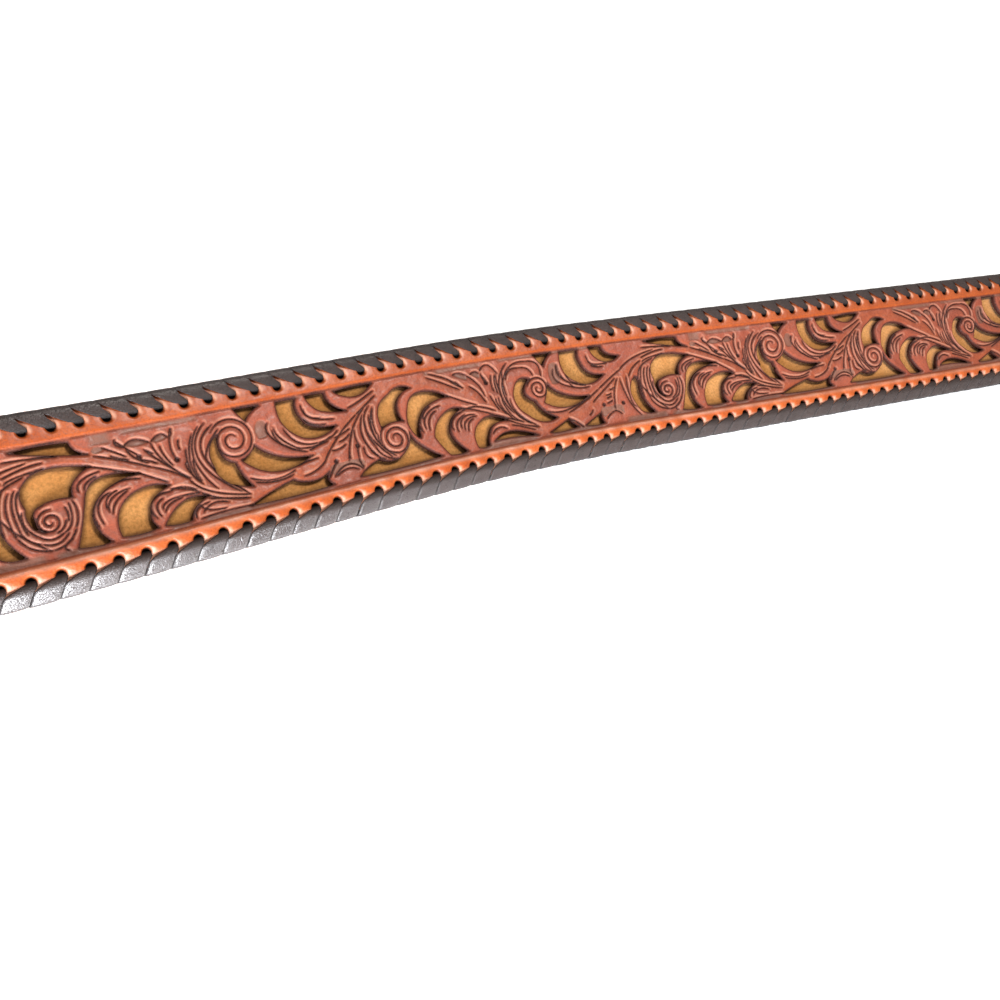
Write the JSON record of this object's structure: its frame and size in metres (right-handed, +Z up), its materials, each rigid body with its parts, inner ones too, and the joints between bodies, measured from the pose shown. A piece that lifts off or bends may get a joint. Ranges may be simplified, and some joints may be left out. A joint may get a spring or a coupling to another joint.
{
  "type": "western tooled belt",
  "caption": "Leather belt laid face up: scroll-tooled pierced strap over an ochre underlay, laced edges, plain frame buckle, pointed tip.",
  "frame": {"origin": "on the ground, under the middle of the belt's box", "axes": "+X along the belt from the buckle to the tip, +Y to the belt's upper edge, +Z up from the ground"},
  "size_m": [1.0816, 0.0658, 0.0405],
  "materials": {
    "tooled_leather": "antiqued, satin with glossy ridges",
    "underlay_leather": "ochre suede",
    "lacing_leather": "dark brown, satin",
    "buckle_metal": "satin",
    "post_metal": "satin"
  },
  "bodies": {
    "root": {"top_leather": "tooled_leather", "base_leather": "underlay_leather", "lacing_far": "lacing_leather", "lacing_near": "lacing_leather", "buckle": "buckle_metal", "fold_post_1": "post_metal", "fold_post_2": "post_metal"}
  },
  "joints": []
}
